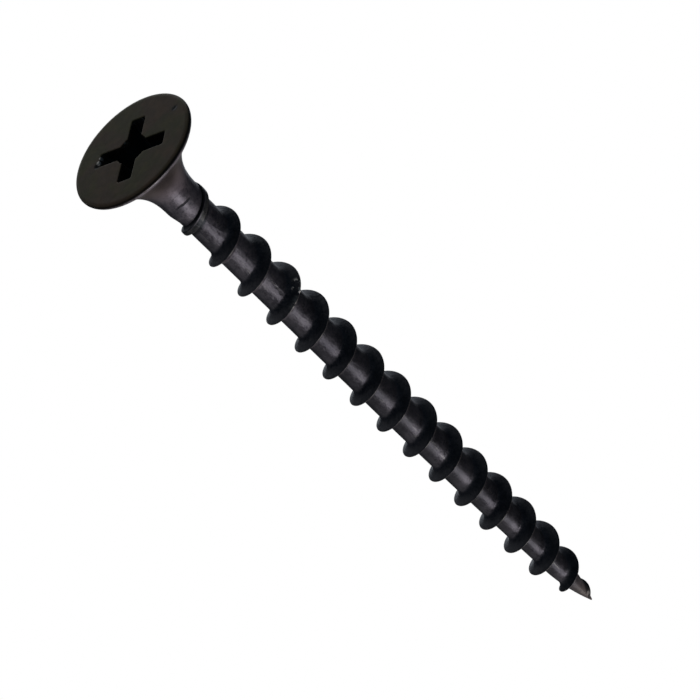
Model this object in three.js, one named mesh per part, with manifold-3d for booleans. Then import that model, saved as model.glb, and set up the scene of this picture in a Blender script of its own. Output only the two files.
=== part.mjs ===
// A coarse-thread wood screw with a bugle head and a cross recess, driven into
// timber: 3.5 mm across the thread and 50 mm long.
//
// The screw is cold-headed and thread-rolled from one steel wire. Its zones are
// kept as separate closed solids that meet face to face: the head with its
// driver recess, the plain neck, the long core, the gimlet point, and the
// single ridge that winds around all three.
//
// Frame: millimetres, +Z up. The origin is the centre of the flat top of the
// head, +Z leaves the head towards the driver, and the point is straight below.
// The wings of the recess lie along X and Y.

import * as THREE from 'three';
import { mergeVertices } from 'three/addons/utils/BufferGeometryUtils.js';
import { ConvexGeometry } from 'three/addons/geometries/ConvexGeometry.js';
import Module from 'manifold-3d';

// ---------------------------------------------------------------- overall
const LENGTH = 50.0;             // flat top to tip, the size the screw is sold by
const HEAD_DIAMETER = 8.1;
const THREAD_DIAMETER = 3.5;     // over the crests, mid-length
const CORE_DIAMETER = 2.16;      // under the ridge, mid-length
const NECK_DIAMETER = 2.44;      // plain stretch between head and thread

// ---------------------------------------------------------------- head
const RIM_RADIUS = 0.28;         // rounding from the flat top to the widest ring
const RIM_DROP = 0.16;           // depth of the widest ring below the flat top
const EDGE_BAND = 0.06;          // short upright band at the widest ring
const BUGLE_DEPTH = 4.8;         // where the trumpet curve has become the neck
const BUGLE_POWER = 2.6;         // how quickly the trumpet curve closes in
const HEAD_DEPTH = 3.6;          // the head solid ends here, the neck solid begins

// ---------------------------------------------------------------- cross recess (size 2)
const WING_REACH = 2.35;         // centre to the end of a wing, at the flat top
const WING_WIDTH = 1.0;          // across a wing, at the flat top
const WING_WIDTH_BELOW = 0.66;   // across a wing, at the recess floor
const RECESS_DEPTH = 2.5;        // flat top to the foot of the wings
const RECESS_CORE = 1.02;        // radius of the round middle, at the flat top
const RECESS_CORE_BELOW = 0.66;  // radius of the round middle, at the floor
const WING_SLOPE = 26.5;         // degrees, wing end from the axis
const FLOOR_SLOPE = 20.0;        // degrees, conical floor from level
const CUT_ABOVE = 0.4;           // the cutters stand this far out of the flat top

// ---------------------------------------------------------------- thread
const PITCH = 2.92;              // single start, right-handed
const THREAD_START = 4.55;       // depth where the ridge rises out of the neck
const THREAD_RISE = 0.75;        // turns until the ridge has its height
const START_DIAMETER = 3.2;      // over the first full crest
const CREST_SETTLE = 14.0;       // depth where the crests reach THREAD_DIAMETER
const FOOT_WIDTH = 1.04;         // ridge width along the axis, at its foot
const CREST_WIDTH = 0.09;        // ridge width along the axis, at its crest
const WAIST_HEIGHT = 0.4;        // share of the height where the flank is hollowed
const WAIST_WIDTH = 0.54;        // width there, as a share of the foot
const THREAD_END_GAP = 0.5;      // the ridge stops this far short of the tip
const SEAT_GAP = 0.01;           // ridge foot to core surface
const START_PHASE = 180.0;       // degrees clockwise from +X where the ridge starts

// ---------------------------------------------------------------- point
const CORE_BLEND = 1.1;          // length over which the neck becomes the core
const TAPER_LENGTH = 19.5;       // the core slims over this length before the point
const POINT_LENGTH = 5.5;        // gimlet point
const POINT_DIAMETER = 1.6;      // core where the point begins
const CREST_POINT_LENGTH = 7.2;  // the crests close in over this length
const CREST_POINT_DIAMETER = 3.3; // over the crests where they begin to close in
const TIP_RADIUS = 0.05;         // blunt end of the tip

// ---------------------------------------------------------------- fineness
const AROUND = 24;               // sides around the core, and steps per turn
const HEAD_AROUND = 72;          // sides around the head
const RIM_STEPS = 4;
const BUGLE_STEPS = 14;
const CORE_STEP = 2.4;           // ring spacing along the slimming core
const POINT_STEP = 0.45;         // ring spacing along the point

const radians = THREE.MathUtils.degToRad;
const clamp = THREE.MathUtils.clamp;
const lerp = THREE.MathUtils.lerp;
const smoothstep = THREE.MathUtils.smoothstep;

const headRadius = HEAD_DIAMETER / 2;
const neckRadius = NECK_DIAMETER / 2;
const coreRadius = CORE_DIAMETER / 2;
const pointRadius = POINT_DIAMETER / 2;
const pointStart = LENGTH - POINT_LENGTH;
const taperStart = pointStart - TAPER_LENGTH;
const coreStart = BUGLE_DEPTH + CORE_BLEND;

// Radius of the trumpet curve under the head, at a depth below the flat top.
function bugleRadius(depth) {
  const top = RIM_DROP + EDGE_BAND;
  const share = clamp((depth - top) / (BUGLE_DEPTH - top), 0, 1);
  return neckRadius + (headRadius - neckRadius) * (1 - share) ** BUGLE_POWER;
}

// Radius of the blank under the ridge, at any depth below the head solid.
function rootRadius(depth) {
  if (depth < BUGLE_DEPTH) {
    return bugleRadius(depth);
  }
  if (depth < coreStart) {
    return lerp(neckRadius, coreRadius, smoothstep(depth, BUGLE_DEPTH, coreStart));
  }
  if (depth < taperStart) {
    return coreRadius;
  }
  if (depth < pointStart) {
    const share = (depth - taperStart) / TAPER_LENGTH;
    return lerp(coreRadius, pointRadius, share ** 2);
  }
  const share = clamp((depth - pointStart) / POINT_LENGTH, 0, 1);
  return lerp(pointRadius, TIP_RADIUS, share ** 2);
}

// Radius over the crests, before the ridge's own rise at its start.
function crestRadius(depth) {
  const closing = LENGTH - CREST_POINT_LENGTH;
  if (depth < CREST_SETTLE) {
    const share = smoothstep(depth, coreStart, CREST_SETTLE);
    return lerp(START_DIAMETER, THREAD_DIAMETER, share) / 2;
  }
  if (depth < closing) {
    const share = clamp((depth - taperStart) / (closing - taperStart), 0, 1);
    return lerp(THREAD_DIAMETER, CREST_POINT_DIAMETER, share ** 2) / 2;
  }
  const share = clamp((depth - closing) / CREST_POINT_LENGTH, 0, 1);
  return lerp(CREST_POINT_DIAMETER / 2, TIP_RADIUS, share ** 2.1);
}

function material(colour, roughness, metalness) {
  return new THREE.MeshStandardMaterial({ color: colour, roughness, metalness });
}

// ---------------------------------------------------------------- solids and cuts
const wasm = await Module();
wasm.setup();

function toSolid(geometry) {
  const bare = geometry.clone();
  bare.deleteAttribute('normal');
  bare.deleteAttribute('uv');
  const merged = mergeVertices(bare, 1e-5);
  return new wasm.Manifold(new wasm.Mesh({
    numProp: 3,
    vertProperties: new Float32Array(merged.attributes.position.array),
    triVerts: new Uint32Array(merged.index.array),
  }));
}

function toGeometry(solid) {
  const mesh = solid.getMesh();
  const geometry = new THREE.BufferGeometry();
  geometry.setAttribute('position', new THREE.BufferAttribute(mesh.vertProperties, 3));
  geometry.setIndex(new THREE.BufferAttribute(mesh.triVerts, 1));
  geometry.computeVertexNormals();
  return geometry;
}

// A closed turned solid about Z. The outline runs from its foot on the axis to
// its top on the axis, as [radius, depth] pairs with the deepest first.
function turned(outline, around) {
  const points = outline.map(([radius, depth]) => new THREE.Vector2(radius, -depth));
  const lathe = new THREE.LatheGeometry(points, around);
  lathe.rotateX(Math.PI / 2);
  lathe.rotateZ(Math.PI / 2);
  return lathe;
}

// Depths from one end to the other, both included, no further apart than step.
function depths(from, to, step) {
  const count = Math.max(1, Math.ceil((to - from) / step - 1e-9));
  const list = [];
  for (let i = 0; i <= count; i += 1) {
    list.push(lerp(from, to, i / count));
  }
  return list;
}

// Outline of a stretch of the blank, closed by flat faces at both ends.
function stretch(list) {
  const side = list.map((depth) => [rootRadius(depth), depth]);
  side.reverse();
  return [[0, side[0][1]], ...side, [0, side[side.length - 1][1]]];
}

const screw = new THREE.Group();
screw.name = 'wood_screw';

function place(name, geometry, finish) {
  const mesh = new THREE.Mesh(geometry, finish);
  mesh.name = name;
  screw.add(mesh);
  return mesh;
}

const phosphate = () => material(0x28262a, 0.46, 0.7);
const rolledPhosphate = () => material(0x1f2023, 0.42, 0.75);
const brightPoint = () => material(0x5c5650, 0.4, 0.85);

// ---------------------------------------------------------------- bugle head
// Flat top, rounded rim, then the trumpet curve down to the neck.
const headSide = [];
for (let i = 0; i <= BUGLE_STEPS; i += 1) {
  const top = RIM_DROP + EDGE_BAND;
  const depth = lerp(HEAD_DEPTH, top, i / BUGLE_STEPS);
  headSide.push([bugleRadius(depth), depth]);
}
for (let i = 0; i <= RIM_STEPS; i += 1) {
  const turn = (Math.PI / 2) * (i / RIM_STEPS);
  const radius = headRadius - RIM_RADIUS * (1 - Math.cos(turn));
  headSide.push([radius, RIM_DROP * (1 - Math.sin(turn))]);
}
const headBlank = turned([[0, HEAD_DEPTH], ...headSide, [0, 0]], HEAD_AROUND);

// The driver socket: four wings whose ends slope in towards the axis, a round
// tapering middle between them, and a shallow conical floor.
function recessWing(turn) {
  const slope = Math.tan(radians(WING_SLOPE));
  const points = [];
  for (const [depth, width] of [[-CUT_ABOVE, WING_WIDTH], [RECESS_DEPTH, WING_WIDTH_BELOW]]) {
    const reach = WING_REACH - slope * depth;
    const half = lerp(WING_WIDTH, width, clamp(depth / RECESS_DEPTH, 0, 1)) / 2;
    for (const x of [-reach, reach]) {
      for (const y of [-half, half]) {
        points.push(new THREE.Vector3(x, y, -depth));
      }
    }
  }
  const wing = new ConvexGeometry(points);
  wing.rotateZ(turn);
  return wing;
}

const coreSlope = (RECESS_CORE - RECESS_CORE_BELOW) / RECESS_DEPTH;
const floorDepth = RECESS_DEPTH + RECESS_CORE_BELOW * Math.tan(radians(FLOOR_SLOPE));
const recessMiddle = turned([
  [0, floorDepth],
  [RECESS_CORE_BELOW, RECESS_DEPTH],
  [RECESS_CORE + coreSlope * CUT_ABOVE, -CUT_ABOVE],
  [0, -CUT_ABOVE],
], 24);

const socket = toSolid(recessWing(0))
  .add(toSolid(recessWing(Math.PI / 2)))
  .add(toSolid(recessMiddle));
const head = toSolid(headBlank).subtract(socket);
place('bugle_head', toGeometry(head), phosphate());

// ---------------------------------------------------------------- neck, core, point
const neckDepths = [
  ...depths(HEAD_DEPTH, BUGLE_DEPTH, 0.3),
  ...depths(BUGLE_DEPTH, coreStart, 0.22).slice(1),
];
place('plain_neck', turned(stretch(neckDepths), AROUND), phosphate());

const coreDepths = [
  coreStart,
  ...depths(taperStart, pointStart, CORE_STEP),
];
place('threaded_core', turned(stretch(coreDepths), AROUND), rolledPhosphate());

const pointDepths = depths(pointStart, LENGTH, POINT_STEP);
place('gimlet_point', turned(stretch(pointDepths), AROUND), brightPoint());

// ---------------------------------------------------------------- thread ridge
// One hollow-flanked ridge, swept along a right-handed helix. Each section is
// drawn in a plane through the axis, so its foot follows the blank exactly.
function ridgeSection(turns) {
  const middle = THREAD_START + PITCH * turns;
  const rise = smoothstep(turns, -0.12, THREAD_RISE);
  const full = Math.max(crestRadius(middle) - rootRadius(middle), 0.06);
  const height = Math.max(full * rise, 0.03);
  const spread = lerp(0.3, 1, Math.sqrt(height / full)) * Math.min(1, 0.35 + full);
  const shape = [
    [-FOOT_WIDTH / 2, 0],
    [-FOOT_WIDTH * WAIST_WIDTH / 2, WAIST_HEIGHT],
    [-CREST_WIDTH / 2, 1],
    [CREST_WIDTH / 2, 1],
    [FOOT_WIDTH * WAIST_WIDTH / 2, WAIST_HEIGHT],
    [FOOT_WIDTH / 2, 0],
  ];
  return shape.map(([along, up]) => {
    const depth = Math.min(middle + along * spread, LENGTH);
    return [rootRadius(depth) + SEAT_GAP + height * up, depth];
  });
}

function ridgeGeometry() {
  const endTurns = (LENGTH - THREAD_END_GAP - THREAD_START) / PITCH;
  const steps = Math.floor(endTurns * AROUND);
  const startStep = Math.round((START_PHASE / 360) * AROUND);
  const positions = [];
  const index = [];
  const size = 6;
  for (let i = 0; i <= steps; i += 1) {
    // Seen from above, a right-handed ridge runs clockwise as it goes down.
    const angle = -((startStep + i) / AROUND) * 2 * Math.PI;
    for (const [radius, depth] of ridgeSection(i / AROUND)) {
      positions.push(radius * Math.cos(angle), radius * Math.sin(angle), -depth);
    }
  }
  for (let i = 0; i < steps; i += 1) {
    for (let j = 0; j < size; j += 1) {
      const a = i * size + j;
      const b = i * size + (j + 1) % size;
      index.push(a, a + size, b, b, a + size, b + size);
    }
  }
  for (let j = 1; j < size - 1; j += 1) {
    index.push(0, j, j + 1);
    index.push(steps * size, steps * size + j + 1, steps * size + j);
  }
  const geometry = new THREE.BufferGeometry();
  geometry.setAttribute('position', new THREE.Float32BufferAttribute(positions, 3));
  geometry.setIndex(index);
  geometry.computeVertexNormals();
  return geometry;
}
place('thread_ridge', ridgeGeometry(), rolledPhosphate());

export default screw;
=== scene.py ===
# %% [markdown]
# # A coarse-thread wood screw, from blank to finish
#
# The screw is one piece of steel wire. A machine strikes its head and driver
# socket cold, rolls the thread between two dies, and pinches the point. It is
# then dipped in hot phosphate, which leaves a thin black-brown crystal skin.
#
# The CAD frame holds the blank as five zones: head, neck, core, point and ridge.
# Each zone gets a fine piece here, in the same place and to the same sizes, and a
# finish that shows how that zone was made and what has rubbed against it.

import math

import bpy
import numpy as np
from mathutils import Matrix, Vector


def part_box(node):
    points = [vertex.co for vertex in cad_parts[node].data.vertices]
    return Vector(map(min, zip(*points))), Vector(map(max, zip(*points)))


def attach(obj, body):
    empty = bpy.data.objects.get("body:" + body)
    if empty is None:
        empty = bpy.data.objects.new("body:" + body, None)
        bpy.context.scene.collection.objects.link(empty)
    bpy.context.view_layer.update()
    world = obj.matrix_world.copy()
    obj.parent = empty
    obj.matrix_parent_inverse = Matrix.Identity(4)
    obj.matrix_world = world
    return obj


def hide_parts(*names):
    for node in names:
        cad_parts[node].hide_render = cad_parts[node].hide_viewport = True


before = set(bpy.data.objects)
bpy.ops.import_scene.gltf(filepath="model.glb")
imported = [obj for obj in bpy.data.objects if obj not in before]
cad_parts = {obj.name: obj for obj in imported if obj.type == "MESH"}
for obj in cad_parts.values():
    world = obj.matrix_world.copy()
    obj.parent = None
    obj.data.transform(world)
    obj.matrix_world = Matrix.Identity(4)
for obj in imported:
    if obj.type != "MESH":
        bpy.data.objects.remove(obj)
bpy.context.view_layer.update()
MM = 0.001
scene = bpy.context.scene

# %% [markdown]
# ## Sizes
#
# The overall sizes come from the frame, so the fine pieces always fit it. Only
# the shape of each curve is stated again here: how fast the trumpet under the
# head closes in, how far the ridge is hollowed, and where the point begins.

# %% Sizes from the frame
def node_size(node):
    """How far below the flat top a zone ends, and its largest radius."""
    low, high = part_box(node)
    return -low.z, high.x


head_end, head_radius = node_size("bugle_head")
core_start, _ = node_size("plain_neck")
point_start, core_radius = node_size("threaded_core")
tip_depth, point_radius = node_size("gimlet_point")
print("head ends at", round(head_end / MM, 2), "mm, core from", round(core_start / MM, 2),
      "to", round(point_start / MM, 2), "mm, tip at", round(tip_depth / MM, 2), "mm")

# %% Sizes of the curves
NECK_RADIUS = 1.22 * MM
RIM_ROUND = 0.28 * MM          # rounding from the flat top to the widest ring
RIM_DROP = 0.19 * MM           # depth of the widest ring
UNDER_ROUND = 0.06             # share of the trumpet's depth that its outer edge is rounded over
BUGLE_DEPTH = 4.8 * MM         # the trumpet curve has become the neck
BUGLE_POWER = 2.6
TAPER_LENGTH = 19.5 * MM       # the core slims over this length above the point
TIP_RADIUS = 0.05 * MM
PITCH = 2.92 * MM
THREAD_START = 4.55 * MM
START_RADIUS = 1.6 * MM        # over the first full crest
THREAD_RADIUS = 1.75 * MM      # over the crests, mid-length
CREST_SETTLE = 14.0 * MM       # the crests have reached their full radius
CREST_CLOSING = 7.2 * MM       # the crests close in over the last stretch
CREST_CLOSING_RADIUS = 1.65 * MM
CREST_CLOSING_POWER = 2.1
THREAD_END = 0.1 * MM          # the ridge stops this far above the tip
START_ANGLE = -math.pi         # around Z, where the ridge starts
FOOT_SINK = 0.003 * MM         # the ridge's foot is buried this far in the core


def smoothstep(value, low, high):
    share = min(max((value - low) / (high - low), 0.0), 1.0)
    return share * share * (3.0 - 2.0 * share)


def lerp(a, b, share):
    return a + (b - a) * share


def bugle_radius(depth):
    """Radius of the trumpet curve under the head."""
    share = min(max((depth - RIM_DROP) / (BUGLE_DEPTH - RIM_DROP), 0.0), 1.0)
    if share < UNDER_ROUND:
        share = share ** 2 / (2 * UNDER_ROUND)
    else:
        share -= 0.5 * UNDER_ROUND * (1 - share) / (1 - UNDER_ROUND)
    return NECK_RADIUS + (head_radius - NECK_RADIUS) * (1.0 - share) ** BUGLE_POWER


def root_radius(depth):
    """Radius of the blank under the ridge."""
    if depth < BUGLE_DEPTH:
        return bugle_radius(depth)
    if depth < core_start:
        return lerp(NECK_RADIUS, core_radius, smoothstep(depth, BUGLE_DEPTH, core_start))
    taper_start = point_start - TAPER_LENGTH
    if depth < point_start:
        share = max(depth - taper_start, 0.0) / TAPER_LENGTH
        return lerp(core_radius, point_radius, share ** 2)
    share = min((depth - point_start) / (tip_depth - point_start), 1.0)
    return lerp(point_radius, TIP_RADIUS, share ** 2)


def crest_radius(depth):
    """Radius over the crests of the ridge."""
    closing = tip_depth - CREST_CLOSING
    if depth < CREST_SETTLE:
        share = smoothstep(depth, core_start, CREST_SETTLE)
        return lerp(START_RADIUS, THREAD_RADIUS, share)
    if depth < closing:
        taper_start = point_start - TAPER_LENGTH
        share = max(depth - taper_start, 0.0) / (closing - taper_start)
        return lerp(THREAD_RADIUS, CREST_CLOSING_RADIUS, share ** 2)
    share = min((depth - closing) / CREST_CLOSING, 1.0)
    return lerp(CREST_CLOSING_RADIUS, TIP_RADIUS, share ** CREST_CLOSING_POWER)


middle_depth = tip_depth / 2
print("crest over core, mid-length, mm:",
      round((crest_radius(middle_depth) - root_radius(middle_depth)) / MM, 3))

# %% [markdown]
# ## A turned piece
#
# The neck, the core and the point are round, so each one is drawn as a lathe
# would leave it. A circle is the first ring. Extruding its edge, moving the new
# ring down and scaling it about the axis gives the next one, all the way to the
# other end, and a face closes each end.

# %% Helpers for modelling
AROUND = 128


def start_clean():
    """Leaves edit mode and deselects everything, so an operator acts on one piece."""
    if bpy.context.object and bpy.context.object.mode == "EDIT":
        bpy.ops.object.mode_set(mode="OBJECT")
    bpy.ops.object.select_all(action="DESELECT")


def name_piece(name):
    piece = bpy.context.object
    piece.name = name
    piece.data.name = name
    return piece


def turned_piece(name, rings, around=AROUND):
    """A closed round piece. rings lists (radius, depth) from the top down."""
    start_clean()
    first_radius, first_depth = rings[0]
    bpy.ops.mesh.primitive_circle_add(vertices=around, radius=first_radius, fill_type="NGON",
                                      location=(0, 0, -first_depth))
    piece = name_piece(name)
    bpy.ops.object.transform_apply(location=True)
    bpy.ops.object.mode_set(mode="EDIT")
    bpy.ops.mesh.select_mode(type="EDGE")
    bpy.ops.mesh.select_all(action="SELECT")
    radius, depth = first_radius, first_depth
    for next_radius, next_depth in rings[1:]:
        bpy.ops.mesh.extrude_edges_move(
            TRANSFORM_OT_translate={"value": (0, 0, depth - next_depth)})
        share = next_radius / radius
        bpy.ops.transform.resize(value=(share, share, 1), center_override=(0, 0, -next_depth))
        radius, depth = next_radius, next_depth
    bpy.ops.mesh.edge_face_add()
    bpy.ops.mesh.select_all(action="SELECT")
    bpy.ops.mesh.normals_make_consistent(inside=False)
    bpy.ops.object.mode_set(mode="OBJECT")
    return piece


def depths(first, last, step):
    """Depths from first to last, both included, no further apart than step."""
    count = max(1, math.ceil((last - first) / step - 1e-9))
    return [lerp(first, last, i / count) for i in range(count + 1)]


def apply_modifier(piece, kind, **settings):
    """Adds a modifier, sets it, and applies it."""
    modifier = piece.modifiers.new(kind.title(), kind)
    for key, value in settings.items():
        setattr(modifier, key, value)
    start_clean()
    bpy.context.view_layer.objects.active = piece
    piece.select_set(True)
    bpy.ops.object.modifier_apply(modifier=modifier.name)
    return piece


def finish_shading(piece, angle=40):
    start_clean()
    bpy.context.view_layer.objects.active = piece
    piece.select_set(True)
    bpy.ops.object.shade_smooth_by_angle(angle=math.radians(angle))
    print(piece.name, len(piece.data.polygons), "faces, size in mm",
          [round(side / MM, 2) for side in piece.dimensions])


# %% Neck, core and point
NECK_STEP = 0.09 * MM          # most between two rings
CORE_STEP = 0.5 * MM
POINT_STEP = 0.1 * MM
FLUSH = 0.002 * MM             # the neck stands this proud of the head's foot
OVERLAP = 0.06 * MM            # how far the neck reaches up over the head's foot
neck_rings = [(root_radius(d) + FLUSH, d) for d in depths(head_end - OVERLAP, core_start, NECK_STEP)]
neck = turned_piece("neck", neck_rings)
finish_shading(neck)

core_rings = [(root_radius(d), d) for d in depths(core_start, point_start, CORE_STEP)]
core = turned_piece("core", core_rings)
finish_shading(core)

point_rings = [(root_radius(d), d) for d in depths(point_start, tip_depth, POINT_STEP)]
point = turned_piece("point", point_rings)
finish_shading(point)

# %% [markdown]
# ## The thread ridge
#
# A rolled thread is a hollow-flanked ridge wound round the core. Its section is
# drawn once, as a small closed loop in the plane through the axis, and the Screw
# modifier sweeps it down one pitch a turn. The sweep leaves every turn the same
# size, so each point is then set to its place between the core and the crest,
# because both change along the screw: no operator tapers the two by different
# amounts, so this one step is done on the coordinates.

# %% Thread section
FLANK_WIDTH = 0.62 * MM        # along the axis, from the crest's edge to the foot
START_FLANK_WIDTH = 0.15 * MM  # the first turn isn't fully formed: steep and blunt
CREST_HALF = 0.045 * MM
START_CREST_HALF = 0.2 * MM
CREST_LEAN = 0.05 * MM         # the crest leans this far towards the point
FLANK_HOLLOW = 2.3             # 1 is a straight flank, more hollows it
CREST_ROUND = 0.05             # share of the height that the crest's rounding takes
FLANK_POINTS = 8
CREST_POINTS = 5
RIDGE_STEPS = 96               # steps in a turn


def ridge_section():
    """(flank, crest, height) round the section, each as a share of its full size."""
    up_flank = []
    for i in range(FLANK_POINTS):
        share = i / FLANK_POINTS
        up_flank.append((share - 1, -1, (1 - CREST_ROUND) * share ** FLANK_HOLLOW))
    crest = []
    for i in range(CREST_POINTS):
        turn = math.pi * i / (CREST_POINTS - 1)
        crest.append((0, -math.cos(turn), 1 - CREST_ROUND * (1 - math.sin(turn))))
    down_flank = [(-flank, 1, height) for flank, _, height in reversed(up_flank)]
    return up_flank + crest + down_flank


section = ridge_section()
print("ridge section has", len(section), "points")

# %% Sweep the section
ridge_turns = (tip_depth - THREAD_END - THREAD_START) / PITCH
start_clean()
bpy.ops.mesh.primitive_circle_add(vertices=len(section), radius=MM, fill_type="NOTHING")
ridge = name_piece("ridge")
bpy.ops.object.mode_set(mode="OBJECT")
for vertex, (flank, crest, height) in zip(ridge.data.vertices, section):
    reach = lerp(core_radius, THREAD_RADIUS, height)
    along = flank * FLANK_WIDTH + crest * CREST_HALF
    vertex.co = (reach * math.cos(START_ANGLE), reach * math.sin(START_ANGLE),
                 -THREAD_START - along)
whole_steps = round(ridge_turns * RIDGE_STEPS)
swept_turns = whole_steps / RIDGE_STEPS
apply_modifier(ridge, "SCREW", angle=-2 * math.pi * swept_turns, screw_offset=-PITCH * swept_turns,
               steps=whole_steps, render_steps=whole_steps, use_merge_vertices=False,
               use_normal_calculate=False)
print("ridge swept to", len(ridge.data.vertices), "points over", round(swept_turns, 2), "turns")

# %% Set the ridge between core and crest
LOW_RISE = (0.04, 0.2)         # turns over which the first low step of the ridge rises
FULL_RISE = (0.35, 1.1)        # turns over which it reaches its full height
LOW_SHARE = 0.42               # height of the low step, as a share of the full height
LATE_START = 0.12 * MM         # the first turn starts this much lower than its pitch says
TIP_RUN_OUT = (-0.02, 0.2)     # turns before its end over which the ridge sinks into the tip
LEAST_HEIGHT = 0.04 * MM
LEAST_WIDTH = 0.3              # share of the full width that a ridge with no height keeps
WIDE_HEIGHT = 0.7 * MM         # this much height would add the whole width to that
TIP_MARGIN = 0.02 * MM
RIDGE_EDGE = 60                # degrees, sharper edges stay sharp


def ridge_place(turn, flank, crest, height):
    """Radius and depth of one point of the section, after so many turns."""
    formed = smoothstep(turn, *FULL_RISE)
    middle = THREAD_START + PITCH * turn + LATE_START * (1 - formed)
    risen = LOW_SHARE * smoothstep(turn, *LOW_RISE) + (1 - LOW_SHARE) * formed
    risen *= smoothstep(swept_turns - turn, *TIP_RUN_OUT)
    full = max(crest_radius(middle) - root_radius(middle), LEAST_HEIGHT)
    slim = min(1.0, LEAST_WIDTH + full / WIDE_HEIGHT)
    along = (flank * lerp(START_FLANK_WIDTH, FLANK_WIDTH, formed) * slim
             + crest * lerp(START_CREST_HALF, CREST_HALF, formed) + CREST_LEAN * height * formed)
    depth = min(middle + along, tip_depth - TIP_MARGIN)
    top = lerp(root_radius(depth), root_radius(middle) + full * risen, height)
    return top - FOOT_SINK * (1 - height), depth


points = np.zeros((len(ridge.data.vertices), 3))
for step in range(whole_steps + 1):
    turn = step / RIDGE_STEPS
    angle = START_ANGLE - 2 * math.pi * turn
    for j, place in enumerate(section):
        reach, depth = ridge_place(turn, *place)
        points[step * len(section) + j] = (reach * math.cos(angle), reach * math.sin(angle), -depth)
ridge.data.vertices.foreach_set("co", points.ravel())
ridge.data.update()

# how far up the ridge each point is, and how far from fully formed its turn is
crest_share = ridge.data.attributes.new("crest_share", "FLOAT", "POINT")
blunt_share = ridge.data.attributes.new("blunt_share", "FLOAT", "POINT")
steps = [step / RIDGE_STEPS for step in range(whole_steps + 1)]
crest_share.data.foreach_set("value", [height for _ in steps for _, _, height in section])
blunt_share.data.foreach_set("value", [1 - smoothstep(turn, *FULL_RISE)
                                       for turn in steps for _ in section])

start_clean()
bpy.context.view_layer.objects.active = ridge
bpy.ops.object.mode_set(mode="EDIT")
bpy.ops.mesh.select_all(action="SELECT")
bpy.ops.mesh.fill_holes(sides=len(section))
bpy.ops.mesh.select_all(action="SELECT")
bpy.ops.mesh.normals_make_consistent(inside=False)
bpy.ops.object.mode_set(mode="OBJECT")
finish_shading(ridge, RIDGE_EDGE)

# %% [markdown]
# ## The head and its driver socket
#
# The head is turned like the core: a flat top, a rounded rim, and the trumpet
# curve that pulls it into flush contact with soft board. The punch then sinks
# the cross recess, four wings round a tapering middle, which is cut here with
# three simple cutters. Two dents in the flat top, one by a wing and one by the
# rim, are cut the same way. Cold steel flows round a punch, so no edge of the
# socket is sharp: remeshing the cut head in very small cells and smoothing it a
# little rounds them all, as forging does.

# %% Head blank
HEAD_AROUND = 160
HEAD_STEP = 0.08 * MM
RIM_STEPS = 6
SMOOTHED_AWAY = 0.014 * MM     # what the rounding of the edges takes off the rim
widest = head_radius + SMOOTHED_AWAY
head_rings = []
for i in range(RIM_STEPS + 1):
    turn = math.pi / 2 * i / RIM_STEPS
    head_rings.append((widest - RIM_ROUND * (1 - math.sin(turn)), RIM_DROP * (1 - math.cos(turn))))
head_rings += [(bugle_radius(d), d) for d in depths(RIM_DROP, head_end, HEAD_STEP)[1:]]
head = turned_piece("head", head_rings, around=HEAD_AROUND)

# %% Socket and dents
WING_REACH = 2.35 * MM         # from the axis to the end of a wing, at the flat top
WING_WIDTH = 1.0 * MM          # at the flat top
WING_WIDTH_BELOW = 0.66 * MM   # at the foot of the wings
RECESS_DEPTH = 2.5 * MM        # to the foot of the wings
RECESS_CORE = 1.02 * MM        # radius of the round middle, at the flat top
RECESS_CORE_BELOW = 0.66 * MM  # and at the foot of the wings
MIDDLE_AROUND = 48
WING_SLOPE = math.radians(26.5)
FLOOR_SLOPE = math.radians(20)
CUT_ABOVE = 0.4 * MM           # how far the cutters stand above the flat top
SLIP_MARK = (0.34, -2.4, 0.08)     # mm, beside the end of one wing
RIM_PIT = (-2.05, 2.66, 0.07)      # mm, near the rim
DENTS = (                      # place, length and width in mm, and turn in degrees
    (SLIP_MARK, 0.5, 0.4, -35),
    (RIM_PIT, 0.55, 0.24, 139),
)


def select_below(piece, height):
    """In edit mode, selects the points of a piece that lie below a height."""
    bpy.ops.mesh.select_mode(type="VERT")
    bpy.ops.mesh.select_all(action="DESELECT")
    bpy.ops.object.mode_set(mode="OBJECT")
    for vertex in piece.data.vertices:
        vertex.select = vertex.co.z < height
    bpy.ops.object.mode_set(mode="EDIT")


def wing_cutter(turn):
    """Two opposite wings of the punch: a bar whose ends and sides draw in with depth."""
    start_clean()
    bpy.ops.mesh.primitive_cube_add(size=1)
    wing = name_piece("wing_cutter")
    bpy.ops.object.mode_set(mode="EDIT")
    reach = WING_REACH + CUT_ABOVE * math.tan(WING_SLOPE)
    bpy.ops.mesh.select_all(action="SELECT")
    bpy.ops.transform.resize(value=(2 * reach, WING_WIDTH, CUT_ABOVE + RECESS_DEPTH),
                             center_override=(0, 0, 0))
    bpy.ops.transform.translate(value=(0, 0, (CUT_ABOVE - RECESS_DEPTH) / 2))
    select_below(wing, 0)
    reach_below = WING_REACH - RECESS_DEPTH * math.tan(WING_SLOPE)
    bpy.ops.transform.resize(value=(reach_below / reach, WING_WIDTH_BELOW / WING_WIDTH, 1),
                             center_override=(0, 0, 0))
    bpy.ops.mesh.select_all(action="SELECT")
    bpy.ops.transform.rotate(value=turn, orient_axis="Z", center_override=(0, 0, 0))
    bpy.ops.object.mode_set(mode="OBJECT")
    return wing


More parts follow.
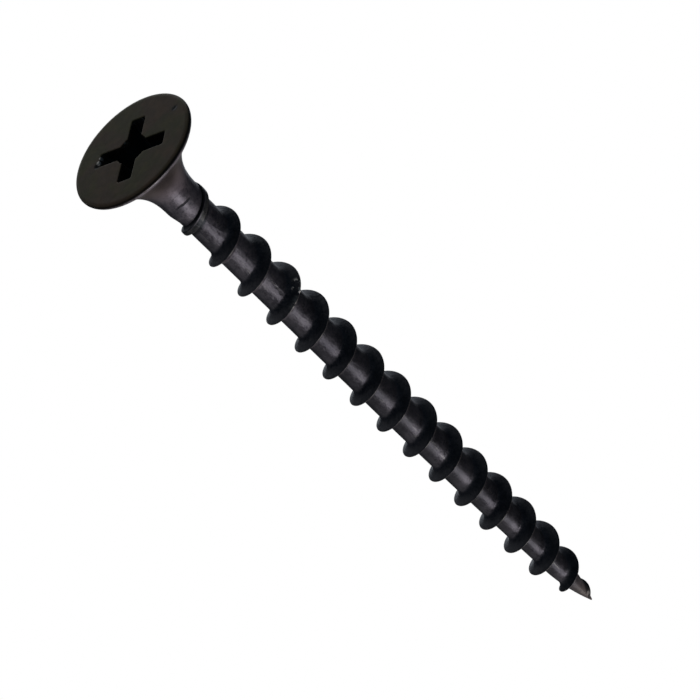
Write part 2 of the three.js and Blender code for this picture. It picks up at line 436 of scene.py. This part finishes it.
def middle_cutter():
    """The round middle of the punch, with its shallow conical nose."""
    slope = (RECESS_CORE - RECESS_CORE_BELOW) / RECESS_DEPTH
    start_clean()
    bpy.ops.mesh.primitive_cone_add(
        vertices=MIDDLE_AROUND, radius1=RECESS_CORE_BELOW, radius2=RECESS_CORE + slope * CUT_ABOVE,
        depth=CUT_ABOVE + RECESS_DEPTH, end_fill_type="NGON",
        location=(0, 0, (CUT_ABOVE - RECESS_DEPTH) / 2))
    middle = name_piece("middle_cutter")
    bpy.ops.object.transform_apply(location=True)
    bpy.ops.object.mode_set(mode="EDIT")
    select_below(middle, -RECESS_DEPTH / 2)
    bpy.ops.mesh.extrude_region_move(
        TRANSFORM_OT_translate={"value": (0, 0, -RECESS_CORE_BELOW * math.tan(FLOOR_SLOPE))})
    bpy.ops.mesh.merge(type="CENTER")
    bpy.ops.object.mode_set(mode="OBJECT")
    return middle


def cut_with(piece, cutter):
    apply_modifier(piece, "BOOLEAN", operation="DIFFERENCE", solver="EXACT", object=cutter)
    bpy.data.objects.remove(cutter, do_unlink=True)


def dent_cutter(place, length, width, turn):
    """A small long ball that dents the flat top. Its sizes are in mm, its turn in degrees."""
    start_clean()
    bpy.ops.mesh.primitive_ico_sphere_add(subdivisions=3, radius=1)
    dent = name_piece("dent_cutter")
    bpy.ops.object.mode_set(mode="EDIT")
    bpy.ops.mesh.select_all(action="SELECT")
    half_length, half_width = length * MM / 2, width * MM / 2
    bpy.ops.transform.resize(value=(half_length, half_width, half_width), center_override=(0, 0, 0))
    bpy.ops.transform.rotate(value=-math.radians(turn), orient_axis="Z", center_override=(0, 0, 0))
    bpy.ops.transform.translate(value=Vector(place) * MM)
    bpy.ops.object.mode_set(mode="OBJECT")
    return dent


dents = [dent_cutter(*dent) for dent in DENTS]
for cutter in (wing_cutter(0), wing_cutter(math.pi / 2), middle_cutter(), *dents):
    cut_with(head, cutter)
print("head with its socket:", len(head.data.polygons), "faces")

# %% Round every edge of the head as forging does
FORGED_CELL = 0.05 * MM
SMOOTHING = 0.5                # how far each pass moves a point towards its neighbours
SMOOTHING_PASSES = 8
NO_SHARP_EDGE = 180            # degrees
apply_modifier(head, "REMESH", mode="VOXEL", voxel_size=FORGED_CELL, adaptivity=0.0)
apply_modifier(head, "SMOOTH", factor=SMOOTHING, iterations=SMOOTHING_PASSES)
finish_shading(head, NO_SHARP_EDGE)

# %% [markdown]
# ## Shader maths
#
# A finish is a stack of masks: grain, wear, stains. A small class wraps a node
# socket so that masks can be written as ordinary sums, and one method adds any
# other node.

# %% The socket class
class Wire:
    """One output socket of a node tree, which can be used in sums."""

    def __init__(self, tree, socket):
        self.tree = tree
        self.socket = socket

    def node(self, kind, settings=None, inputs=None, output=0):
        """Adds a node: its type, its settings first, then its socket values or links."""
        added = self.tree.nodes.new(kind)
        for key, value in (settings or {}).items():
            setattr(added, key, value)
        for key, value in (inputs or {}).items():
            if isinstance(value, Wire):
                self.tree.links.new(value.socket, added.inputs[key])
            else:
                added.inputs[key].default_value = value
        return Wire(self.tree, added.outputs[output]) if added.outputs else None

    def maths(self, operation, *values):
        return self.node("ShaderNodeMath", {"operation": operation}, dict(enumerate(values)))

    def __add__(self, other):
        return self.maths("ADD", self, other)

    def __sub__(self, other):
        return self.maths("SUBTRACT", self, other)

    def __mul__(self, other):
        return self.maths("MULTIPLY", self, other)

    def __rsub__(self, other):
        return self.maths("SUBTRACT", other, self)

    __radd__ = __add__
    __rmul__ = __mul__

    def ramp(self, low, high):
        """0 below low, 1 above high, smooth between. The other way round if low is the higher."""
        return self.node("ShaderNodeMapRange", {"interpolation_type": "SMOOTHSTEP"},
                         {"Value": self, "From Min": low, "From Max": high})

    def noise(self, waves, detail=4.0, roughness=0.55, stretch=(1, 1, 1), turn=(0, 0, 0)):
        """Noise of so many waves a millimetre, from 0 to 1."""
        place = self.node("ShaderNodeMapping", inputs={"Vector": self, "Rotation": turn,
                                                       "Scale": stretch})
        return self.node("ShaderNodeTexNoise", inputs={
            "Vector": place, "Scale": waves / MM, "Detail": detail, "Roughness": roughness})

    def part(self, axis):
        """One part of this vector: 0 for X, 1 for Y, 2 for Z."""
        return self.node("ShaderNodeSeparateXYZ", {}, {"Vector": self}, output=axis)

    def away_from(self, centre):
        """Distance in mm from a point given in mm."""
        return self.node("ShaderNodeVectorMath", {"operation": "DISTANCE"},
                         {0: self, 1: Vector(centre) * MM}, output=1) * (1 / MM)

    def between(self, first, second):
        """The first colour where this is 0, the second where it is 1."""
        return self.node("ShaderNodeMix", {"data_type": "RGBA"},
                         {0: self, 6: first, 7: second}, output=2)

    def mix(self, other, share):
        """This colour where share is 0, the other where it is 1."""
        return share.between(self, other)

    def times_colour(self, colour):
        """This colour times another."""
        return self.node("ShaderNodeMix", {"data_type": "RGBA", "blend_type": "MULTIPLY"},
                         {0: 1.0, 6: self, 7: colour}, output=2)


# %% [markdown]
# ## The phosphate finish
#
# Phosphate grows as fine crystals that hold oil, so the steel turns satin black
# with a brown cast, and it is never quite even. The forged head is browner and
# more matt. The rolled core is smeared along its length by the dies and has a
# cold, mauve sheen. The point has rubbed against its neighbours in the box and is
# the lightest. Painted shade darkens the core just below each turn of the ridge,
# and a painted shadow line follows the ridge's start. Painted shade also darkens
# the socket, the dents, the ridge's flanks and the crease of its first turn, and a
# painted highlight lightens the lip under the rim. Bare steel shows where
# something has rubbed or chipped: a few nicks by the socket, and the crests, whose
# bright line is also a painted highlight. Each of these is a mask here, and one
# recipe serves all the zones, so that the finish runs on without a step where two
# pieces meet.

# %% Tones and roughness
FACE_TONE = (0.076, 0.07, 0.036)
BROWN_STAIN = (0.1, 0.067, 0.05)
HEAD_TONE = (0.104, 0.086, 0.074)
NECK_TONE = (0.255, 0.232, 0.26)
CORE_TONE = (0.19, 0.176, 0.198)
# painted shade on the core just below each turn of the ridge
LEE_SHADE_TONE = (0.045, 0.046, 0.052)
POINT_TONE = (0.22, 0.2, 0.187)
# painted shade in the driver socket
SOCKET_SHADE_TONE = (0.055, 0.095, 0.11)
# painted shade on the ridge's flanks
FLANK_SHADE_TONE = (0.052, 0.062, 0.07)
# dark tone for the parting line and stains, and for painted shade and shadow in the dents, the
# crease and below the ridge
SEAM_STAIN_AND_SHADE_TONE = (0.03, 0.034, 0.038)
# painted highlight on the lip under the rim
LIP_HIGHLIGHT_TONE = (0.38, 0.37, 0.42)
BARE_STEEL = (0.52, 0.5, 0.47)
DARKENED = (0.42, 0.42, 0.45)  # what a dark patch of the mottling leaves of each colour
HEAD_ROUGHNESS = 0.43
ROLLED_ROUGHNESS = 0.38
STEEL_METALLIC = 0.9


def tone(colour, share=1.0):
    """A colour for a socket, a share as bright."""
    return (*[part * share for part in colour], 1)


# %% The finish that all zones share
# where the finish changes, in mm below the flat top: from none of it to all of it,
# so a pair that starts with the larger depth fades out on the way down
HEAD_TO_NECK = (1.6, 3.5)
NECK_SHEEN = (1.5, 3.5)
UNEVEN_FROM = (1.5, 4.0)
ROLLED_FROM = (3.0, 6.0)
NECK_TO_CORE = (5.0, 7.0)
# the next two: where the painted shadow line below the ridge's start lies
RIDGE_SHADOW_FROM = (5.0, 5.4)
RIDGE_SHADOW_UNTIL = (8.0, 6.6)
# where the painted shade below each turn of the ridge comes in
LEE_SHADE_FROM = (9.0, 26.0)
CALMER_FROM = (12.0, 34.0)     # the dies leave less relief further down
WORN_FROM = (46.3, 48.8)
# and how far below the ridge above, as a share of the pitch
LEE_SHADE_REACH = (0.72, 0.35)
RIDGE_SHADOW_REACH = (0.25, 0.19)
# strength of the painted shade below each turn of the ridge
LEE_SHADE_STRENGTH = 0.58
# strength of the painted shadow line below the ridge's start
RIDGE_SHADOW_STRENGTH = 0.85
SCRATCH_STRENGTH = 0.35
RELIEF_STRENGTH = 0.8
RELIEF_DEPTH = 0.09 * MM


def past_the_ridge(place, depth):
    """How far along the pitch a point lies below the ridge above it, 0 to 1."""
    turned = place.maths("ARCTAN2", place.part(1), place.part(0)) * (1 / (2 * math.pi))
    climbed = (depth - THREAD_START / MM) * (MM / PITCH) + turned + 0.5
    return climbed.maths("FRACT", climbed)


def along_and_out(place):
    """Depth below the flat top and distance from the axis, both in mm."""
    flat = place.node("ShaderNodeVectorMath", {"operation": "MULTIPLY"}, {0: place, 1: (1, 1, 0)})
    out = flat.node("ShaderNodeVectorMath", {"operation": "LENGTH"}, {0: flat}, output=1)
    return place.part(2) * (-1 / MM), out * (1 / MM)


def phosphate_finish(name, roughness, detail=None):
    """The satin phosphate of one zone. detail adds what only that zone has."""
    material = bpy.data.materials.new(name)
    material.use_nodes = True
    tree = material.node_tree
    tree.nodes.clear()
    place = Wire(tree, tree.nodes.new("ShaderNodeTexCoord").outputs["Object"])
    depth, out = along_and_out(place)

    crystals = place.noise(7.0, detail=5.0, roughness=0.7)
    mottle = place.noise(2.6, detail=4.0, roughness=0.6)
    clouds = place.noise(0.45, detail=3.0)
    smears = place.noise(3.2, detail=4.0, roughness=0.62, stretch=(1, 1, 0.3), turn=(0.12, 0.1, 0))
    scratches = place.noise(5.0, detail=2.0, stretch=(1, 1, 0.12), turn=(0.35, -0.2, 0))
    scratches = scratches.ramp(0.63, 0.7)

    # colour: the zones' own tones, then dark patches, then painted shade below each
    # turn of the ridge and a painted shadow line below its start
    rolled = depth.ramp(*ROLLED_FROM)
    worn = depth.ramp(*WORN_FROM)
    skin = depth.ramp(*HEAD_TO_NECK).between(tone(HEAD_TONE), tone(NECK_TONE))
    skin = skin.mix(tone(CORE_TONE), depth.ramp(*NECK_TO_CORE))
    skin = skin.mix(tone(POINT_TONE), worn)
    patchy = (clouds * 0.3 + mottle * 0.3 + crystals * 0.4).ramp(0.38, 0.6)
    uneven = depth.ramp(*UNEVEN_FROM) * (1 - worn * 0.6)
    bright_share = patchy * (0.35 + uneven * 0.65) + (1 - uneven) * 0.5
    skin = skin.times_colour(tone(DARKENED)).mix(skin, bright_share)
    # painted shade: the core is darkened just below each turn of the ridge above
    below_ridge = past_the_ridge(place, depth)
    shaded = below_ridge.ramp(*LEE_SHADE_REACH) * depth.ramp(*LEE_SHADE_FROM) * (1 - worn)
    skin = skin.mix(tone(LEE_SHADE_TONE), shaded * LEE_SHADE_STRENGTH)
    # painted shadow: a dark line on the core just below the first turn of the ridge
    ridge_shadow = below_ridge.ramp(*RIDGE_SHADOW_REACH) * depth.ramp(*RIDGE_SHADOW_UNTIL) * depth.ramp(*RIDGE_SHADOW_FROM)
    skin = skin.mix(tone(SEAM_STAIN_AND_SHADE_TONE), ridge_shadow * RIDGE_SHADOW_STRENGTH)
    skin = skin.mix(tone(BARE_STEEL, 0.5), scratches * rolled * SCRATCH_STRENGTH)

    # roughness: crystals, mottling and clouds vary it, sheen and scratches lower it
    matt = roughness - depth.ramp(*NECK_SHEEN) * (1 - rolled) * 0.06
    matt = matt + (crystals - 0.5) * (0.15 + rolled * 0.2)
    matt = matt + (mottle - 0.5) * 0.25 + (clouds - 0.5) * 0.15
    matt = matt - scratches * rolled * 0.1

    # relief: crystals everywhere, and the smears of the dies on what they rolled
    rough_rolled = rolled * (1 - depth.ramp(*CALMER_FROM) * 0.55)
    relief = (crystals * 0.22 + mottle * 0.35) * (0.2 + rough_rolled * 0.8)
    relief = relief + smears * rough_rolled * 0.6
    if detail:
        skin, matt, relief = detail(place, depth, out, skin, matt, relief)
    bump = place.node("ShaderNodeBump", {}, {
        "Strength": RELIEF_STRENGTH, "Distance": RELIEF_DEPTH, "Height": relief})
    shader = place.node("ShaderNodeBsdfPrincipled", {}, {
        "Base Color": skin, "Roughness": matt, "Metallic": STEEL_METALLIC, "Normal": bump})
    place.node("ShaderNodeOutputMaterial", {}, {"Surface": shader})
    return material


# %% What only the head and neck have
# places and sizes in mm
PARTING_DEPTH = 4.25           # a faint line where the heading dies met the wire
PARTING_PLACE = (1.02, 0.72, -PARTING_DEPTH)
PARTING_WANDER = 0.35
PARTING_WIDTH = (0.1, 0.04)    # from its edge to its full darkness
EDGE_NICKS = ((-0.2, -2.33, -0.1), (0.12, -2.4, -0.05), (-0.66, -0.6, -0.03))
NICK_REACH = (0.17, 0.09)
PIT_REACH = (0.32, 0.12)
SLIP_REACH = (0.32, 0.2)


def head_detail(place, depth, out, skin, matt, relief):
    """Socket and dents with painted shade, face, lip with a painted highlight, marks of the head,
    and the parting line on the neck.
    """
    edges = depth.ramp(0.015, 0.05) * depth.ramp(0.35, 0.15) * out.ramp(2.9, 2.6)
    # painted shade: the socket is darkened and cooled towards its depth
    socket = depth.ramp(0.25, 0.9) * (out + depth * 0.5).ramp(2.8, 2.55)
    skin = skin.mix(tone(SOCKET_SHADE_TONE), socket * 0.8)
    stained = place.noise(0.35, detail=3.0).ramp(0.42, 0.6)
    skin = skin.mix(tone(FACE_TONE), depth.ramp(0.12, 0.04))
    skin = skin.mix(tone(BROWN_STAIN), stained * depth.ramp(0.5, 0.1) * 0.8)
    soot = place.noise(1.1, detail=4.0).ramp(0.62, 0.45) * depth.ramp(0.5, 0.1)
    skin = skin.mix(tone(SEAM_STAIN_AND_SHADE_TONE), soot * 0.22)
    # painted highlight: a light band on the lip under the rim, broken into patches by noise
    lip_highlight = out.ramp(3.3, 3.6) * depth.ramp(0.13, 0.22) * depth.ramp(1.0, 0.5)
    lip_highlight_patches = place.noise(2.2, detail=3.0).ramp(0.35, 0.55)
    skin = skin.mix(tone(LIP_HIGHLIGHT_TONE), lip_highlight * (0.12 + lip_highlight_patches * 0.5))
    specks = place.noise(5.5, detail=2.0).ramp(0.6, 0.66) * edges
    skin = skin.mix(tone(BARE_STEEL, 0.55), specks * 0.8)
    # painted shade in the two dents in the flat top
    dent_shade = place.away_from(RIM_PIT).ramp(*PIT_REACH) + place.away_from(SLIP_MARK).ramp(*SLIP_REACH)
    skin = skin.mix(tone(SEAM_STAIN_AND_SHADE_TONE), dent_shade * 0.85)
    for nick in EDGE_NICKS:
        skin = skin.mix(tone(BARE_STEEL, 1.5), place.away_from(nick).ramp(*NICK_REACH) * 0.8)
    wander = (place.noise(0.8) - 0.5) * PARTING_WANDER
    past_line = depth + wander - PARTING_DEPTH
    from_line = past_line.maths("ABSOLUTE", past_line)
    line = from_line.ramp(*PARTING_WIDTH) * place.away_from(PARTING_PLACE).ramp(0.68, 0.4)
    skin = skin.mix(tone(SEAM_STAIN_AND_SHADE_TONE), line * 0.75)
    return skin, matt + socket * 0.15 + line * 0.2, relief - line * 0.3


# %% What only the ridge has
# places and reaches in mm
CHIP_PLACE = (0.08, 1.6, -14.07)   # where flakes of phosphate have broken off the crest
CHIP_REACH = (0.55, 0.35)
CHIP_RELIEF = 2.4
RUB_PLACE = (1.05, 1.28, -14.36)   # beside them, where the crest has rubbed bright
RUB_REACH = (0.55, 0.2)
RUB_RELIEF = 0.6
TIP_FLANK = (48.9, 47.4)       # depths between which the painted shade on the flanks fades out


def ridge_detail(place, depth, out, skin, matt, relief):
    """Flanks and the crease of the first turn with painted shade, crests rubbed bright and with a
    painted highlight, and one chipped crest.
    """
    crest = place.node("ShaderNodeAttribute", {"attribute_name": "crest_share"}, {}, output=2)
    blunt = place.node("ShaderNodeAttribute", {"attribute_name": "blunt_share"}, {}, output=2)
    # painted shade: the ridge's flanks are darkened, less towards the tip
    flank = crest.ramp(0.0, 0.5) * (1 - crest.ramp(0.93, 0.99)) * depth.ramp(*TIP_FLANK)
    skin = skin.mix(tone(FLANK_SHADE_TONE), flank * 0.5)
    # the crest line: rubbed bright steel, and a painted highlight
    crest_rub_and_highlight = crest.ramp(0.94, 0.99) * place.noise(1.3, detail=3.0).ramp(0.35, 0.6)
    skin = skin.mix(tone(BARE_STEEL, 0.5), crest_rub_and_highlight * 0.6)
    bright = (place.away_from(RUB_PLACE).ramp(*RUB_REACH) * crest.ramp(0.5, 0.9)
              * place.noise(2.8).ramp(0.4, 0.55))
    skin = skin.mix(tone(BARE_STEEL), bright * 0.8)
    # painted shade in the crease at the foot of the blunt first turn
    crease_shade = blunt.ramp(0.1, 0.6) * crest.ramp(0.8, 0.3)
    skin = skin.mix(tone(SEAM_STAIN_AND_SHADE_TONE), crease_shade * 0.9)
    chips = (place.away_from(CHIP_PLACE).ramp(*CHIP_REACH) * crest.ramp(0.25, 0.45)
             * place.noise(2.4, detail=3.0).ramp(0.41, 0.47))
    skin = skin.mix(tone(BARE_STEEL, 1.7), chips)
    relief = relief + chips * CHIP_RELIEF + bright * RUB_RELIEF
    return skin, matt - crest_rub_and_highlight * 0.08 + flank * 0.05, relief


# %% Mix the finishes
head_finish = phosphate_finish("head_phosphate", HEAD_ROUGHNESS, head_detail)
core_finish = phosphate_finish("rolled_phosphate", ROLLED_ROUGHNESS)
ridge_finish = phosphate_finish("ridge_phosphate", ROLLED_ROUGHNESS, ridge_detail)
point_finish = phosphate_finish("point_phosphate", ROLLED_ROUGHNESS)
print("finishes:", len(bpy.data.materials))

# %% [markdown]
# ## Hand the pieces to the frame
#
# Each fine piece rides on the frame's one body, stands for the CAD zone it
# refines, whose own piece is hidden, and takes its own finish.

# %% Ride, replace, paint
zones = (
    (head, "bugle_head", "phosphate_steel", head_finish),
    (neck, "plain_neck", "phosphate_steel", head_finish),
    (core, "threaded_core", "rolled_phosphate_steel", core_finish),
    (point, "gimlet_point", "worn_point_steel", point_finish),
    (ridge, "thread_ridge", "rolled_phosphate_steel", ridge_finish),
)
for piece, node, slot_name, finish in zones:
    piece.data.materials.clear()
    piece.data.materials.append(finish)
    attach(piece, "root")
    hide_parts(node)
    print(piece.name, "stands for", node)

# %% [markdown]
# ## Camera
#
# A long lens looks down on the head and is rolled so that the screw runs from
# the upper left to the lower right.

# %% Camera
CAMERA_AZIMUTH = math.radians(41.4)    # around Z, from +X
CAMERA_ELEVATION = math.radians(37.14)
CAMERA_ROLL = math.radians(45.49)
CAMERA_DISTANCE = 177.08 * MM
CAMERA_AIM = Vector((-0.375, 0.425, -20.98)) * MM
CAMERA_LENS = 150.1                    # mm
SENSOR_WIDTH = 36                      # mm
SEEN_FROM = 0.01                       # m from the camera
SEEN_UNTIL = 20                        # m

back = Vector((math.cos(CAMERA_ELEVATION) * math.cos(CAMERA_AZIMUTH),
               math.cos(CAMERA_ELEVATION) * math.sin(CAMERA_AZIMUTH),
               math.sin(CAMERA_ELEVATION)))
level = Vector((0, 0, 1)).cross(back).normalized()
upright = back.cross(level)
image_right = level * math.cos(CAMERA_ROLL) - upright * math.sin(CAMERA_ROLL)
image_up = upright * math.cos(CAMERA_ROLL) + level * math.sin(CAMERA_ROLL)


def turn_to(right, up, backwards):
    """The turn of an object whose X, Y and Z axes point these ways."""
    return Matrix((right, up, backwards)).transposed().to_euler()


bpy.ops.object.camera_add(location=CAMERA_AIM + back * CAMERA_DISTANCE,
                          rotation=turn_to(image_right, image_up, back))
camera = bpy.context.object
camera.name = "camera"
camera.data.lens = CAMERA_LENS
camera.data.sensor_width = SENSOR_WIDTH
camera.data.clip_start = SEEN_FROM
camera.data.clip_end = SEEN_UNTIL
scene.camera = camera
print("camera at", [round(v / MM, 1) for v in camera.location], "mm")

# %% [markdown]
# ## Floor and light
#
# The floor is a plain sheet that glows an even white, so it has no edge and no
# shadow. One bright soft light, below the screw and to one side, makes the long
# highlight down the core. Three weaker ones fill the other side, draw a thin
# bright edge from behind, and give the flat top something to reflect.

# %% Floor
FLOOR_SIZE = 4.0               # m
FLOOR_GAP = 0.5 * MM           # below the tip
start_clean()
bpy.ops.mesh.primitive_plane_add(size=FLOOR_SIZE, location=(0, 0, -tip_depth - FLOOR_GAP))
floor = name_piece("floor")
floor_paint = bpy.data.materials.new("white_floor")
floor_paint.use_nodes = True
floor_tree = floor_paint.node_tree
floor_tree.nodes.clear()
glow = Wire(floor_tree, floor_tree.nodes.new("ShaderNodeEmission").outputs[0])
glow.node("ShaderNodeOutputMaterial", {}, {"Surface": glow})
floor.data.materials.append(floor_paint)
floor.visible_diffuse = False
floor.visible_glossy = False
floor.visible_shadow = False

# %% Lights
LIGHT_DISTANCE = 0.3           # m, from the screw's middle
screw_middle = Vector((0, 0, -tip_depth / 2))


def soft_light(name, azimuth, elevation, width, height, glow, tint=(1, 1, 1)):
    """A soft light that faces the screw's middle, placed by two angles in degrees.

    width and height are in m, and glow is how bright its face looks.
    """
    azimuth, elevation = math.radians(azimuth), math.radians(elevation)
    direction = Vector((math.cos(elevation) * math.cos(azimuth),
                        math.cos(elevation) * math.sin(azimuth), math.sin(elevation)))
    bpy.ops.object.light_add(type="AREA", location=screw_middle + direction * LIGHT_DISTANCE,
                             rotation=direction.to_track_quat("Z", "Y").to_euler())
    light = bpy.context.object
    light.name = name
    light.data.shape = "RECTANGLE"
    light.data.size = width
    light.data.size_y = height
    light.data.energy = glow * math.pi * width * height
    light.data.color = tint
    print(name, "at", [round(v, 2) for v in light.location], "m")


soft_light("table_light", 26, -35, 0.15, 0.27, 1.7)
soft_light("side_light", -40, -35, 0.3, 0.3, 0.16)
soft_light("far_light", 208, -8, 0.3, 0.4, 0.45, (0.93, 1.0, 1.06))
soft_light("back_light", -133, 47, 0.6, 0.6, 0.17)

# %% World
world = bpy.data.worlds.new("studio")
scene.world = world
world.use_nodes = True
world_tree = world.node_tree
world_tree.nodes.clear()
BELOW_GLOW = (0.44, 0.38, 0.385, 1)    # what the screw reflects from straight below
LEVEL_GLOW = (0.031, 0.035, 0.041, 1)
ABOVE_GLOW = (0.01, 0.017, 0.024, 1)
WHITE = (1, 1, 1, 1)                   # what the camera sees of the room itself
BELOW_TO_LEVEL = (-1.0, -0.7)          # the height of the direction looked in, -1 to 1
LEVEL_TO_ABOVE = (-0.5, 0.1)
way = Wire(world_tree, world_tree.nodes.new("ShaderNodeTexCoord").outputs["Generated"])
rise = way.part(2)
room = rise.ramp(*BELOW_TO_LEVEL).between(BELOW_GLOW, LEVEL_GLOW)
room = room.mix(ABOVE_GLOW, rise.ramp(*LEVEL_TO_ABOVE))
sight = Wire(world_tree, world_tree.nodes.new("ShaderNodeLightPath").outputs["Is Camera Ray"])
sky = room.node("ShaderNodeBackground", {}, {"Color": room.mix(WHITE, sight)})
sight.node("ShaderNodeOutputWorld", {}, {"Surface": sky})
scene.view_settings.view_transform = "Standard"
